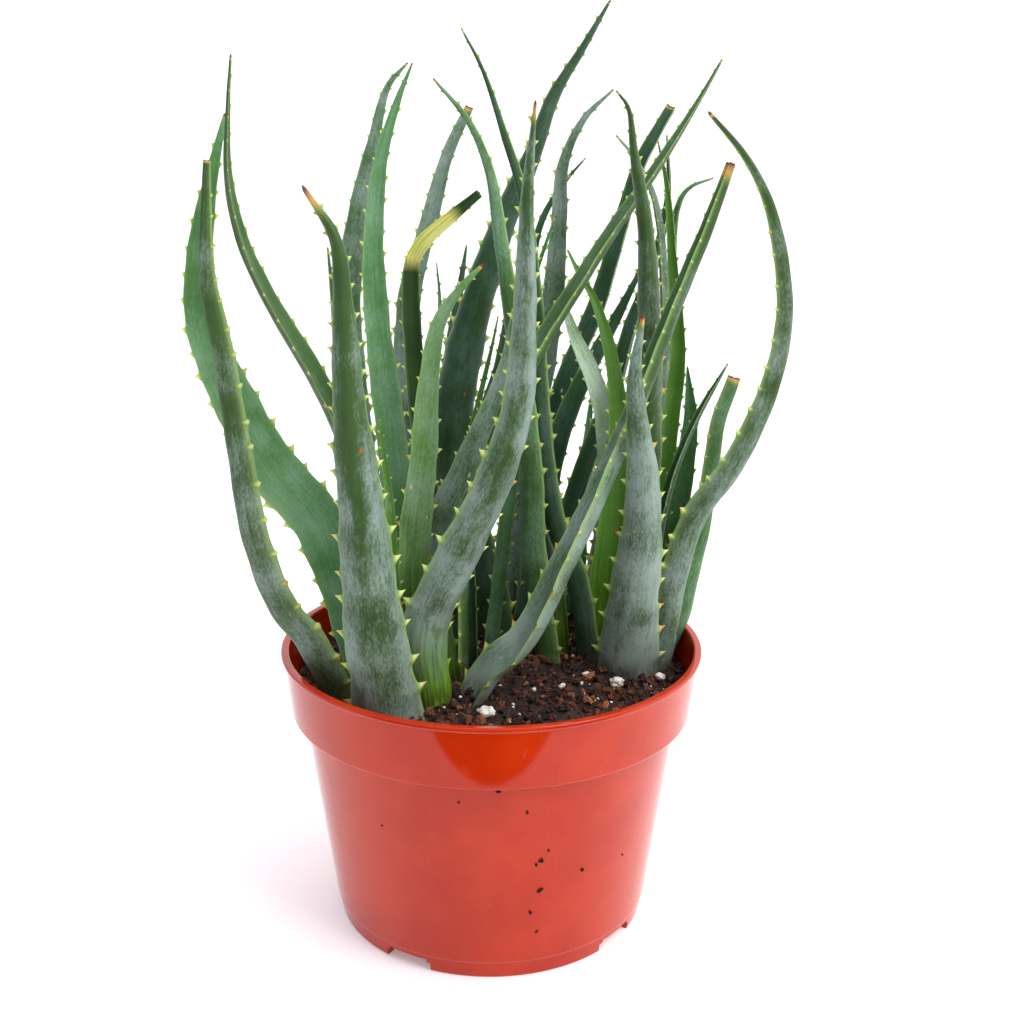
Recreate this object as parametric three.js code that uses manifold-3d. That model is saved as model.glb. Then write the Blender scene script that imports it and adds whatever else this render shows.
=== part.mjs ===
// Potted aloe: a clump of five rosettes rooted in the soil of one 16 cm moulded plastic nursery pot.
// Millimetres, +Z up. The origin is the centre of the pot's foot ring, on the ground.
import * as THREE from "three";
import { mergeVertices } from "three/addons/utils/BufferGeometryUtils.js";
import Module from "manifold-3d";

const wasm = await Module();
wasm.setup();

// Pot: rim radius and height set every other pot dimension.
const RIM_R = 80;
const POT_H = 108;
const COLLAR_R = 76.7;
const COLLAR_Z = 83.7;
const BODY_R = 72;
const FOOT_R = 60.2;
const WALL = 1.8;
const FLOOR_Z = 6.5;
const POT_SIDES = 64;
const NOTCH_H = 4.8;
const NOTCH_DEG = 18;
const NOTCH_AT_DEG = [-120.5, -38.8, 59.5, 141.2];
const DRAIN_HOLE_R = 4;
const DRAIN_HOLES = 6;
const DRAIN_RING_R = 38;

// Soil: a plug that fills the pot to SOIL_EDGE_Z at the wall and rises to SOIL_TOP_Z in the middle.
const SOIL_EDGE_Z = 95.5;
const SOIL_TOP_Z = 100;
const SOIL_GAP = 0.35;

// Leaves and stems grow against each other; GROW_GAP is left between any two of them.
const LEAF_SIDES = 8;
const LEAF_STEPS = 11;
const GROW_GAP = 0.35;
const LEAF_FOOT_Z = 93;

const part = new THREE.Group();
part.name = "potted_aloe";

function solidOf(geometry) {
  const g = geometry.clone();
  g.deleteAttribute("normal");
  g.deleteAttribute("uv");
  const m = mergeVertices(g, 1e-3);
  return new wasm.Manifold(
    new wasm.Mesh({
      numProp: 3,
      vertProperties: new Float32Array(m.attributes.position.array),
      triVerts: new Uint32Array(m.index.array),
    }),
  );
}

function geometryOf(solid) {
  const m = solid.getMesh();
  const g = new THREE.BufferGeometry();
  const xyz = new Float32Array(m.numVert * 3);
  for (let i = 0; i < m.numVert; i++) {
    xyz.set(m.vertProperties.subarray(i * m.numProp, i * m.numProp + 3), i * 3);
  }
  g.setAttribute("position", new THREE.BufferAttribute(xyz, 3));
  g.setIndex(new THREE.BufferAttribute(m.triVerts, 1));
  g.computeVertexNormals();
  return g;
}

function addMesh(name, geometry, color, roughness) {
  const material = new THREE.MeshStandardMaterial({ color, roughness, metalness: 0 });
  const mesh = new THREE.Mesh(geometry, material);
  mesh.name = name;
  part.add(mesh);
  return mesh;
}

function largestBody(solid) {
  const bodies = solid.decompose();
  return bodies.reduce((a, b) => (b.volume() > a.volume() ? b : a));
}

// ---------------------------------------------------------------------------------------------
// Leaves
// ---------------------------------------------------------------------------------------------

// Cross-section of a leaf as eight points, (across, through): a shallow channel on the inner face
// and a rounded keel on the outer one. Across runs from -1 to 1, through from 1 (inner) to -1 (keel).
const SECTION = [
  [1.0, 0.35],
  [0.5, 0.02],
  [0.0, -0.08],
  [-0.5, 0.02],
  [-1.0, 0.35],
  [-0.72, -0.5],
  [0.0, -1.0],
  [0.72, -0.5],
];

// The vertices of a plain cylinder are carried to the leaf: its height becomes the way along the
// midrib and each of its eight corners takes its place on the section. GROW fattens the leaf.
function leafGeometry(leaf, grow) {
  const points = leaf.midrib.map((p) => new THREE.Vector3(...p));
  const midrib = new THREE.CatmullRomCurve3(points, false, "centripetal");
  const g = new THREE.CylinderGeometry(1, 1, 1, LEAF_SIDES, LEAF_STEPS);
  const pos = g.attributes.position;
  const corner = (x, z) => {
    const turn = Math.round((Math.atan2(x, z) / (2 * Math.PI)) * LEAF_SIDES);
    return (LEAF_SIDES - turn) % LEAF_SIDES;
  };
  for (let i = 0; i < pos.count; i++) {
    const t = pos.getY(i) + 0.5;
    const centre = Math.hypot(pos.getX(i), pos.getZ(i)) < 0.5;
    const along = midrib.getTangentAt(t);
    const turn = THREE.MathUtils.degToRad(THREE.MathUtils.lerp(leaf.face[0], leaf.face[1], t));
    const inner = new THREE.Vector3(Math.cos(turn), Math.sin(turn), 0);
    inner.addScaledVector(along, -inner.dot(along)).normalize();
    const across = new THREE.Vector3().crossVectors(along, inner);
    const size = 1 - (1 - leaf.end) * Math.pow(t, leaf.belly);
    const halfWidth = (leaf.width / 2) * size + grow;
    const halfDepth = (leaf.depth / 2) * (0.3 + 0.7 * size) * Math.min(1, 0.25 + size * 2.2) + grow;
    const place = midrib.getPointAt(t).addScaledVector(along, grow * Math.sign(t - 0.5) * (t % 1 ? 0 : 1));
    if (!centre) {
      const [a, b] = SECTION[corner(pos.getX(i), pos.getZ(i))];
      place.addScaledVector(across, a * halfWidth);
      place.addScaledVector(inner, (b * 1.5 + 0.5) * halfDepth);
    } else {
      place.addScaledVector(inner, 0.2 * halfDepth);
    }
    pos.setXYZ(i, place.x, place.y, place.z);
  }
  return g;
}

// One row per leaf: the midrib's points from soil to tip, its width and depth at the foot, the
// compass bearing its channel faces at foot and tip, how full the outline is (belly: 1 tapers
// evenly, 3 stays broad) and how blunt the end is.
const WEST_FRONT = "west_front";
const WEST_BACK = "west_back";
const CENTRE_BACK = "centre_back";
const EAST_FRONT = "east_front";
const EAST_BACK = "east_back";
const GREY = 0x7f9c86;
const GREEN = 0x5f9150;
const DARK = 0x3f6647;
const YOUNG = 0x86b84a;
const LEAVES = [
  [WEST_FRONT, GREY, [[-36, -48], [-40, -52, 128], [-43, -57, 176], [-46, -57, 212], [-47, -57, 244], [-49, -56, 263], [-58, -56, 278]],
    25, 9, 90, 105, 1.1, 0.06],
  [WEST_FRONT, GREY, [[-21, -33], [-22, -37, 126], [-11, -41, 153], [2, -45, 183], [9, -46, 207], [11, -47, 240], [11, -48, 275], [13, -47, 304]],
    19, 9, 120, 100, 1.4, 0.05],
  [WEST_FRONT, GREY, [[-56, -23], [-66, -28, 118], [-75, -31, 133], [-82, -36, 157], [-85, -41, 186], [-88, -45, 223], [-92, -44, 249], [-92, -42, 268], [-91, -40, 286]],
    17, 11, 25, 25, 1, 0.22],
  [WEST_FRONT, GREEN, [[-45, -5], [-65, 0, 153], [-82, 4, 174], [-97, 7, 202], [-105, 9, 222], [-107, 10, 243], [-104, 14, 267], [-96, 18, 300]],
    22, 6, -50, -75, 2, 0.05],
  [WEST_FRONT, GREEN, [[-26, -6], [-33, -6, 150], [-38, -1, 194], [-42, 3, 230], [-43, 7, 258], [-40, 12, 286], [-34, 16, 306], [-29, 18, 318]],
    12, 5, -75, -80, 2.7, 0.06],
  [WEST_FRONT, YOUNG, [[-35, -27], [-36, -29, 170], [-38, -28, 189], [-39, -27, 200]], 5, 3, -80, -80, 2.5, 0.1],
  [WEST_FRONT, YOUNG, [[-27, -20], [-28, -23, 151], [-24, -22, 186], [-22, -20, 212], [-18, -18, 233], [-9, -17, 246], [-4, -16, 251]],
    12, 5.5, -80, -100, 2.6, 0.1],
  [WEST_FRONT, GREY, [[-16, -16], [-22, -15, 143], [-19, -16, 160], [-10, -18, 180], [-1, -18, 201], [5, -18, 219], [7, -18, 237]],
    11, 4.5, -95, -110, 3, 0.06],
  [WEST_FRONT, GREY, [[-12, -9], [-10, -10, 151], [4, -9, 196], [17, 1, 220], [32, 10, 243], [45, 18, 262], [61, 26, 284], [77, 34, 309], [84, 38, 321]],
    12, 6, 200, 215, 1.8, 0.06],
  [WEST_FRONT, GREY, [[-8, -31], [0, -30, 107], [12, -30, 119], [25, -26, 144], [40, -16, 174], [52, -4, 199], [64, 5, 229], [77, 9, 262], [85, 11, 285]],
    13, 8, 205, 190, 1.3, 0.25],
  [WEST_BACK, GREY, [[-44, 10], [-50, 8, 149], [-54, 6, 181], [-65, 6, 207], [-81, 4, 237], [-89, 1, 258], [-92, -2, 279], [-90, -5, 305], [-88, -7, 319]],
    17, 6, -30, 0, 1.4, 0.05],
  [WEST_BACK, GREY, [[-31, 12], [-49, 18, 158], [-54, 21, 201], [-55, 23, 235], [-51, 27, 265], [-45, 31, 290], [-39, 34, 311], [-32, 36, 319]],
    14, 5, -60, -60, 2.7, 0.06],
  [WEST_BACK, GREEN, [[-40, 23], [-58, 28, 156], [-61, 34, 225], [-63, 37, 252]], 7, 4, -50, -50, 2, 0.1],
  [WEST_BACK, GREY, [[-21, 21], [-31, 24, 169], [-33, 30, 207], [-31, 35, 237], [-24, 41, 262], [-17, 47, 287], [-9, 51, 304]],
    13, 5, -90, -110, 2, 0.25],
  [WEST_BACK, GREEN, [[-19, 5], [-26, 10, 180], [-29, 13, 217], [-30, 15, 239], [-29, 15, 250], [-24, 13, 258], [-16, 12, 265], [-5, 11, 274]],
    8, 4.5, -80, -100, 4, 0.4],
  [WEST_BACK, GREEN, [[-24, 14], [-25, 19, 190], [-21, 21, 218], [-20, 22, 235], [-21, 23, 248]], 5, 3, -80, -80, 2, 0.1],
  [WEST_BACK, DARK, [[-8, 1], [-8, 9, 177], [-1, 13, 199], [3, 16, 213], [6, 18, 234], [7, 20, 246]], 7, 4, -110, -120, 2.5, 0.08],
  [WEST_BACK, YOUNG, [[-14, 10], [-14, 14, 167], [-8, 18, 184], [-4, 21, 201], [0, 24, 218], [2, 26, 228]], 5, 3, -100, -110, 2, 0.1],
  [WEST_BACK, GREY, [[-38, 34], [-46, 45, 129], [-54, 58, 163], [-57, 67, 196]], 14, 6, -50, -50, 1.5, 0.06],
  [WEST_BACK, GREEN, [[-22, 42], [-28, 58, 124], [-33, 65, 160], [-35, 70, 200]], 15, 6, -70, -75, 1.5, 0.06],
  [CENTRE_BACK, DARK, [[-1, 30], [-7, 35, 124], [-14, 39, 152], [-16, 45, 180], [-11, 50, 210], [-3, 55, 239], [6, 59, 264], [16, 63, 287], [24, 68, 309], [35, 71, 327], [45, 74, 344]],
    24, 8, 90, 110, 1.15, 0.05],
  [CENTRE_BACK, GREY, [[3, 43], [11, 41, 161], [19, 38, 204], [23, 35, 233], [25, 33, 264], [26, 30, 284], [33, 28, 300], [43, 27, 310]],
    12, 5.5, -90, -100, 2.4, 0.06],
  [CENTRE_BACK, DARK, [[6, 56], [11, 67, 188], [17, 73, 249], [21, 74, 263], [30, 76, 277], [37, 77, 285]], 6, 4, -90, -110, 3, 0.1],
  [CENTRE_BACK, GREEN, [[-1, 18], [11, 25, 196], [15, 26, 240], [19, 26, 253], [23, 26, 265]], 5.5, 3.5, -90, -110, 2.5, 0.1],
  [CENTRE_BACK, DARK, [[15, 50], [20, 55, 157], [30, 59, 196], [43, 63, 228], [51, 66, 256], [59, 70, 283], [64, 71, 293], [71, 73, 305]],
    9, 5, -120, -130, 3, 0.45],
  [CENTRE_BACK, DARK, [[13, 38], [21, 43, 147], [30, 48, 184], [42, 54, 209], [52, 59, 227], [61, 64, 245]], 10, 4.5, -110, -120, 3, 0.1],
  [CENTRE_BACK, DARK, [[24, 33], [30, 35, 135], [37, 39, 163], [48, 44, 193], [55, 49, 220], [64, 53, 245], [69, 58, 272], [68, 62, 294]],
    11, 5, -130, -150, 1.8, 0.06],
  [CENTRE_BACK, GREY, [[27, 16], [24, 18, 130], [20, 19, 148], [16, 20, 166]], 8, 4, 70, 70, 1.5, 0.1],
  [CENTRE_BACK, GREY, [[-12, 58], [-17, 66, 130], [-19, 72, 170], [-17, 75, 210], [-11, 74, 250]], 16, 7, -75, -85, 1.4, 0.05],
  [CENTRE_BACK, GREEN, [[14, 63], [20, 70, 130], [26, 75, 168], [30, 77, 205]], 14, 6, -110, -110, 1.4, 0.06],
  [EAST_FRONT, GREY, [[52, -7], [53, -12, 125], [55, -16, 157], [54, -18, 180], [51, -20, 201], [50, -19, 216], [52, -18, 234]],
    24, 9, 90, 100, 1.15, 0.12],
  [EAST_FRONT, GREY, [[65, 4], [76, 1, 154], [90, -2, 178], [101, 0, 203], [106, 2, 230], [103, 2, 254], [97, 4, 274], [88, 6, 289], [76, 7, 302]],
    15, 8, 135, 150, 1.2, 0.08],
  [EAST_FRONT, GREEN, [[67, 14], [75, 13, 115], [78, 15, 130], [82, 17, 149], [85, 21, 170], [87, 23, 187], [93, 26, 205]],
    11, 7, 160, 160, 1.6, 0.5],
  [EAST_FRONT, DARK, [[60, 12], [66, 16, 151], [70, 14, 172], [77, 12, 192], [87, 10, 213]], 5, 3.5, 200, 200, 3, 0.1],
  [EAST_FRONT, YOUNG, [[43, 20], [44, 20, 125], [47, 21, 158], [48, 23, 191], [44, 28, 217], [38, 35, 235], [33, 38, 243], [29, 42, 251]], 13, 4.5, -85, -70, 1.5, 0.07],
  [EAST_FRONT, GREY, [[46, 28], [45, 28, 139], [44, 27, 186], [38, 28, 206], [31, 30, 221], [28, 31, 229]], 10, 4, -90, -80, 4, 0.3],
  [EAST_FRONT, GREY, [[50, 10], [57, 14, 135], [59, 17, 190], [58, 15, 229], [55, 11, 263], [50, 9, 288], [47, 7, 304], [43, 6, 309]],
    13, 7, 80, 90, 2.2, 0.05],
  [EAST_FRONT, YOUNG, [[56, 22], [66, 26, 148], [69, 29, 180], [72, 32, 215], [69, 34, 245], [66, 38, 275], [62, 40, 292]],
    9, 5, -100, -120, 2, 0.06],
  [EAST_FRONT, GREEN, [[21, 6], [15, 7, 138], [13, 5, 178], [7, 3, 226], [2, 2, 259], [-2, -1, 283], [-9, -4, 299], [-20, -6, 312]],
    13, 5.5, 40, 60, 1.6, 0.06],
  [EAST_FRONT, DARK, [[38, 8], [32, 10, 128], [23, 12, 152], [18, 15, 187], [15, 16, 236], [10, 14, 274], [4, 13, 293], [-4, 8, 316], [-11, 6, 329]],
    11, 5.5, 40, 60, 1.4, 0.05],
  [EAST_BACK, GREY, [[55, 36], [67, 39, 153], [68, 41, 193], [67, 43, 237], [62, 44, 271], [54, 45, 286], [47, 46, 294]],
    8, 4.5, 170, 190, 2, 0.08],
  [EAST_BACK, GREEN, [[56, 43], [72, 53, 170], [72, 60, 235], [74, 65, 267], [78, 66, 274], [87, 66, 278]], 7, 4, -150, 160, 3, 0.1],
  [EAST_BACK, GREEN, [[63, 28], [72, 32, 138], [76, 34, 162], [79, 38, 186], [77, 41, 206]], 12, 4.5, -120, -120, 3, 0.08],
  [EAST_BACK, GREY, [[42, 47], [49, 64, 129], [56, 69, 165], [60, 75, 196]], 14, 6, -100, -105, 1.4, 0.06],
  [EAST_BACK, GREEN, [[32, 54], [36, 66, 130], [40, 74, 165], [42, 78, 190]], 12, 6, -85, -90, 1.4, 0.06],
];

const STEMS = [
  [WEST_FRONT, -29, -22],
  [WEST_BACK, -30, 22],
  [CENTRE_BACK, 2, 50],
  [EAST_FRONT, 52, 3],
  [EAST_BACK, 48, 40],
];
const STEM_R = 4;
const STEM_LOW_Z = 80;
const STEM_TOP_Z = 104;

const placed = [];
const foots = [];

// Cuts from a solid whatever already stands within GROW_GAP of it.
function grownAgainst(solid) {
  let result = solid;
  for (const other of placed) {
    const a = result.boundingBox();
    const b = other.boundingBox();
    const apart = [0, 1, 2].some((k) => a.max[k] < b.min[k] || b.max[k] < a.min[k]);
    if (!apart && result.intersect(other).volume() > 0) {
      result = result.subtract(other);
    }
  }
  return result === solid ? solid : largestBody(result);
}

for (const [name, x, y] of STEMS) {
  const g = new THREE.CylinderGeometry(STEM_R, STEM_R, STEM_TOP_Z - STEM_LOW_Z, 10);
  g.rotateX(Math.PI / 2);
  g.translate(x, y, (STEM_TOP_Z + STEM_LOW_Z) / 2);
  const fat = new THREE.CylinderGeometry(STEM_R + 0.4, STEM_R + 0.4, STEM_TOP_Z - STEM_LOW_Z + 0.8, 10);
  fat.rotateX(Math.PI / 2);
  fat.translate(x, y, (STEM_TOP_Z + STEM_LOW_Z) / 2);
  placed.push(solidOf(fat));
  foots.push(solidOf(fat));
  addMesh("stem_" + name, g, 0xb9c27a, 0.6);
}

const count = {};
for (const [crown, color, points, width, depth, faceFoot, faceTip, belly, end] of LEAVES) {
  const midrib = points.map(([x, y, z]) => [x, y, z ?? LEAF_FOOT_Z]);
  const leaf = { midrib, width, depth, face: [faceFoot, faceTip], belly, end };
  const solid = grownAgainst(solidOf(leafGeometry(leaf, 0)));
  const cutter = solidOf(leafGeometry(leaf, GROW_GAP));
  placed.push(cutter);
  foots.push(cutter);
  count[crown] = (count[crown] ?? 0) + 1;
  addMesh("leaf_" + crown + "_" + count[crown], geometryOf(solid), color, 0.55);
}

// ---------------------------------------------------------------------------------------------
// Pot
// ---------------------------------------------------------------------------------------------

const profile = [
  [0, FLOOR_Z],
  [FOOT_R - 5.5, FLOOR_Z],
  [FOOT_R - 4.2, 0],
  [FOOT_R, 0],
  [FOOT_R + 0.9, 6.5],
  [FOOT_R + 1.5, 7.2],
  [BODY_R, COLLAR_Z - 0.6],
  [COLLAR_R - 0.5, COLLAR_Z],
  [COLLAR_R, COLLAR_Z + 0.8],
  [RIM_R - 0.9, POT_H - 1.2],
  [RIM_R, POT_H - 1.0],
  [RIM_R, POT_H],
  [RIM_R - 3, POT_H],
  [COLLAR_R - WALL, COLLAR_Z + 3],
  [BODY_R - WALL, COLLAR_Z + 0.4],
  [FOOT_R - 1.2, FLOOR_Z + WALL + 1.2],
  [FOOT_R - 2.8, FLOOR_Z + WALL],
  [0, FLOOR_Z + WALL],
];
const lathe = new THREE.LatheGeometry(
  profile.map(([r, z]) => new THREE.Vector2(r, z)),
  POT_SIDES,
);
lathe.rotateX(Math.PI / 2);
let pot = solidOf(lathe);
for (const deg of NOTCH_AT_DEG) {
  const half = FOOT_R * Math.tan(THREE.MathUtils.degToRad(NOTCH_DEG / 2));
  const g = new THREE.BoxGeometry(20, 2 * half, 2 * NOTCH_H);
  g.translate(FOOT_R, 0, 0);
  g.rotateZ(THREE.MathUtils.degToRad(deg));
  pot = pot.subtract(solidOf(g));
}
for (let k = 0; k < DRAIN_HOLES; k++) {
  const g = new THREE.CylinderGeometry(DRAIN_HOLE_R, DRAIN_HOLE_R, 10, 12);
  const turn = ((k + 0.5) / DRAIN_HOLES) * 2 * Math.PI;
  g.rotateX(Math.PI / 2);
  g.translate(DRAIN_RING_R * Math.cos(turn), DRAIN_RING_R * Math.sin(turn), FLOOR_Z + WALL / 2);
  pot = pot.subtract(solidOf(g));
}
addMesh("pot", geometryOf(pot), 0xd9533a, 0.3);

// ---------------------------------------------------------------------------------------------
// Soil and perlite
// ---------------------------------------------------------------------------------------------

const soilProfile = [
  [0, FLOOR_Z + WALL + SOIL_GAP],
  [FOOT_R - 3.4, FLOOR_Z + WALL + SOIL_GAP],
  [FOOT_R - 1.8, FLOOR_Z + WALL + 2],
  [BODY_R - WALL - 0.6, COLLAR_Z + 0.7],
  [COLLAR_R - WALL - 0.6, COLLAR_Z + 3.9],
  [COLLAR_R - WALL + 0.2, SOIL_EDGE_Z],
  [COLLAR_R * 0.55, (SOIL_EDGE_Z + 2 * SOIL_TOP_Z) / 3],
  [0, SOIL_TOP_Z],
];
const soilLathe = new THREE.LatheGeometry(
  soilProfile.map(([r, z]) => new THREE.Vector2(r, z)),
  40,
);
soilLathe.rotateX(Math.PI / 2);
let soil = solidOf(soilLathe);
for (const foot of foots) {
  soil = soil.subtract(foot);
}
soil = largestBody(soil);

// Larger perlite grains: x, y, radius. Each sits in a dimple of the soil.
const PERLITE = [
  [-2, -45, 3.4],
  [47, -17, 3],
  [64, -11, 2.3],
  [36, -12, 2],
  [5, 18, 2.4],
  [-64, -14, 2],
  [26, -23, 1.6],
];
PERLITE.forEach(([x, y, r], i) => {
  const z = SOIL_TOP_Z - 0.1 - Math.hypot(x, y) * 0.045;
  const grain = new THREE.IcosahedronGeometry(r, 0);
  grain.scale(1.2, 0.85, 0.8);
  grain.rotateZ(i);
  grain.translate(x, y, z);
  const fat = new THREE.IcosahedronGeometry(r + 0.45, 0);
  fat.scale(1.2, 0.85, 0.8);
  fat.rotateZ(i);
  fat.translate(x, y, z);
  soil = soil.subtract(solidOf(fat));
  const cut = grownAgainst(solidOf(grain));
  addMesh("perlite_" + (i + 1), geometryOf(cut), 0xf2efe6, 0.9);
});
addMesh("soil", geometryOf(largestBody(soil)), 0x3a2a20, 0.95);

export default part;
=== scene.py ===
# Potted aloe: a clump of five rosettes rooted in the soil of one 16 cm moulded nursery pot.
# Metres, +Z up, camera side towards -Y. The origin is the centre of the pot's foot ring, on the ground.
import math
import random

import bmesh
import bpy
import numpy as np
from mathutils import Matrix, Vector, noise


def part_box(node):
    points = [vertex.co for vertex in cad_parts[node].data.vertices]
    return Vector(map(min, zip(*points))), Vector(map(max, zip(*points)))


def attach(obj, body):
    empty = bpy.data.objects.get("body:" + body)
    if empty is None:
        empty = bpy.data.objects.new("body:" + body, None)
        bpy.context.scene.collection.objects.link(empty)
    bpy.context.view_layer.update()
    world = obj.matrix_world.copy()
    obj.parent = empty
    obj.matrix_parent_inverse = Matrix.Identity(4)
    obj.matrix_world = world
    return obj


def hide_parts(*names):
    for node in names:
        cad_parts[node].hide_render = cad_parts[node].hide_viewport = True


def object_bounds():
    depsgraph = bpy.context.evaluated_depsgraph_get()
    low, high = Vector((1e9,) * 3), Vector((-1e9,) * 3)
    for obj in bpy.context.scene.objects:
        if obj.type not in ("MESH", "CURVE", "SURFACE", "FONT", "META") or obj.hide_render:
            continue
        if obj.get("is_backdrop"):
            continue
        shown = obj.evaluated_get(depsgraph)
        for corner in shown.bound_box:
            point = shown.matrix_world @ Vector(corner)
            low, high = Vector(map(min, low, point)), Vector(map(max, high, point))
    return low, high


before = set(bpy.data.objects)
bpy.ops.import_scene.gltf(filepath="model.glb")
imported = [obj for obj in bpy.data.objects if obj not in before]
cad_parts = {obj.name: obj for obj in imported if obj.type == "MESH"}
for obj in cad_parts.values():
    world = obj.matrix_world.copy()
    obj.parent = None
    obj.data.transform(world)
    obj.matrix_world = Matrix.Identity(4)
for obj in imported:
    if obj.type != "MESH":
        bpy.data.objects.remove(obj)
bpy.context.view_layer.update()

# ---------------------------------------------------------------------------------------------
# Pot
# A thin shell of orange-red polypropylene, injection moulded in one shot: a tapered body, a stepped
# collar that the fingers lift it by, a flat lip, and a foot ring with four drainage notches under a
# raised floor with six holes. The gloss is the mould's own polish, dulled by fine scratches and dust.
# ---------------------------------------------------------------------------------------------

MM = 0.001
pot_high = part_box("pot")[1]
RIM_R = pot_high.x
POT_H = pot_high.z
COLLAR_R = RIM_R - 3.3 * MM
COLLAR_Z = POT_H - 24.3 * MM
BODY_R = RIM_R - 8 * MM
FOOT_R = RIM_R - 19.8 * MM
WALL = 1.8 * MM
FLOOR_Z = 6.5 * MM
FOOT_LINE_Z = 6.5 * MM
BODY_FOOT_R = FOOT_R + 1.5 * MM
BODY_FOOT_Z = 7.2 * MM
BODY_TOP_Z = COLLAR_Z - 0.6 * MM
POT_SIDES = 180
NOTCH_H = 4.8 * MM
NOTCH_DEG = 18
NOTCH_AT_DEG = (-120.5, -38.8, 59.5, 141.2)
DRAIN_HOLE_R = 4 * MM
DRAIN_HOLES = 6
DRAIN_RING_R = 38 * MM


def rounded_outline(corners, steps=4):
    """Points of an outline whose corners, given as (radius, height, rounding), are filleted."""
    out = []
    for i, (r, z, fillet) in enumerate(corners):
        here = Vector((r, z))
        if fillet == 0 or i in (0, len(corners) - 1):
            out.append(here)
            continue
        before = Vector(corners[i - 1][:2]) - here
        after = Vector(corners[i + 1][:2]) - here
        reach = min(fillet, before.length * 0.45, after.length * 0.45)
        a = here + before.normalized() * reach
        b = here + after.normalized() * reach
        for k in range(steps + 1):
            t = k / steps
            out.append(a * (1 - t) ** 2 + here * 2 * t * (1 - t) + b * t * t)
    return out


def turned(name, outline, sides):
    """A closed solid of revolution from an outline that starts and ends on the axis."""
    bm = bmesh.new()
    rings = []
    for p in outline:
        if p.x < 1e-6:
            rings.append([bm.verts.new((0, 0, p.y))])
            continue
        angles = [2 * math.pi * k / sides for k in range(sides)]
        rings.append([bm.verts.new((p.x * math.cos(a), p.x * math.sin(a), p.y)) for a in angles])
    for low, high in zip(rings, rings[1:]):
        for k in range(sides):
            n = (k + 1) % sides
            corners = [low[k % len(low)], low[n % len(low)], high[n % len(high)], high[k % len(high)]]
            corners = list(dict.fromkeys(corners))
            if len(corners) > 2:
                bm.faces.new(corners)
    bmesh.ops.recalc_face_normals(bm, faces=bm.faces)
    mesh = bpy.data.meshes.new(name)
    bm.to_mesh(mesh)
    bm.free()
    return mesh


def place(name, mesh, material):
    """Links a mesh as an object with one material."""
    mesh.materials.clear()
    mesh.materials.append(material)
    piece = bpy.data.objects.new(name, mesh)
    bpy.context.scene.collection.objects.link(piece)
    return piece


def shade(mesh, angle=35):
    """Smooth faces, with edges sharper than the angle kept crisp."""
    mesh.polygons.foreach_set("use_smooth", [True] * len(mesh.polygons))
    mesh.set_sharp_from_angle(angle=math.radians(angle))


def cut(mesh, cutters):
    """Cuts the cutters, a list of bmesh builders, out of a mesh with an exact boolean."""
    bm = bmesh.new()
    for cutter in cutters:
        cutter(bm)
    tool_mesh = bpy.data.meshes.new("cutter")
    bm.to_mesh(tool_mesh)
    bm.free()
    tool = bpy.data.objects.new("cutter", tool_mesh)
    body = bpy.data.objects.new("cut_body", mesh)
    for o in (tool, body):
        bpy.context.scene.collection.objects.link(o)
    boolean = body.modifiers.new("cut", "BOOLEAN")
    boolean.operation = "DIFFERENCE"
    boolean.solver = "EXACT"
    boolean.object = tool
    evaluated = body.evaluated_get(bpy.context.evaluated_depsgraph_get())
    result = bpy.data.meshes.new_from_object(evaluated)
    for o in (tool, body):
        bpy.data.objects.remove(o)
    return result


def notch(angle):
    """A round-cornered slot through the foot ring at the angle."""
    half = FOOT_R * math.tan(math.radians(NOTCH_DEG / 2))

    def build(bm):
        turn = Matrix.Rotation(math.radians(angle), 4, "Z") @ Matrix.Translation((FOOT_R, 0, 0))
        size = Matrix.Diagonal((20 * MM, 2 * half, 2 * NOTCH_H, 1))
        made = bmesh.ops.create_cube(bm, size=1, matrix=turn @ size)
        top = [e for v in made["verts"] for e in v.link_edges if all(w.co.z > 0 for w in e.verts)]
        radial = Vector((math.cos(math.radians(angle)), math.sin(math.radians(angle)), 0))
        runs = [(e, (e.verts[0].co - e.verts[1].co).normalized()) for e in set(top)]
        edges = [e for e, run in runs if abs(run.dot(radial)) > 0.9]
        bmesh.ops.bevel(bm, geom=edges, offset=1.4 * MM, segments=5, affect="EDGES")

    return build


def drain_hole(k):
    """A round hole through the floor."""
    turn = 2 * math.pi * (k + 0.5) / DRAIN_HOLES
    centre = (DRAIN_RING_R * math.cos(turn), DRAIN_RING_R * math.sin(turn), FLOOR_Z)

    def build(bm):
        bmesh.ops.create_cone(
            bm, cap_ends=True, segments=32, radius1=DRAIN_HOLE_R, radius2=DRAIN_HOLE_R,
            depth=10 * MM, matrix=Matrix.Translation(centre),
        )

    return build


def feed(tree, node, ins):
    """Sets a node's inputs, given by name or number, to values, or links sockets to them."""
    for key, value in ins.items():
        if isinstance(value, bpy.types.NodeSocket):
            tree.links.new(value, node.inputs[key])
        else:
            node.inputs[key].default_value = value


def put(tree, kind, ins=None, **settings):
    """Adds a shader node with its settings and inputs."""
    made = tree.nodes.new("ShaderNode" + kind)
    for key, value in settings.items():
        setattr(made, key, value)
    feed(tree, made, ins or {})
    return made


def calc(tree, operation, a, b=0.0):
    """A Math node's result."""
    return put(tree, "Math", {0: a, 1: b}, operation=operation).outputs[0]


def plus(tree, base, value, weight):
    """A base with a weighted value added."""
    return calc(tree, "ADD", base, calc(tree, "MULTIPLY", value, weight))


def mix(tree, factor, a, b, blend="MIX"):
    """A colour mix's result."""
    ins = {0: factor, 6: a, 7: b}
    return put(tree, "Mix", ins, data_type="RGBA", blend_type=blend, clamp_factor=True).outputs[2]


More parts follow.
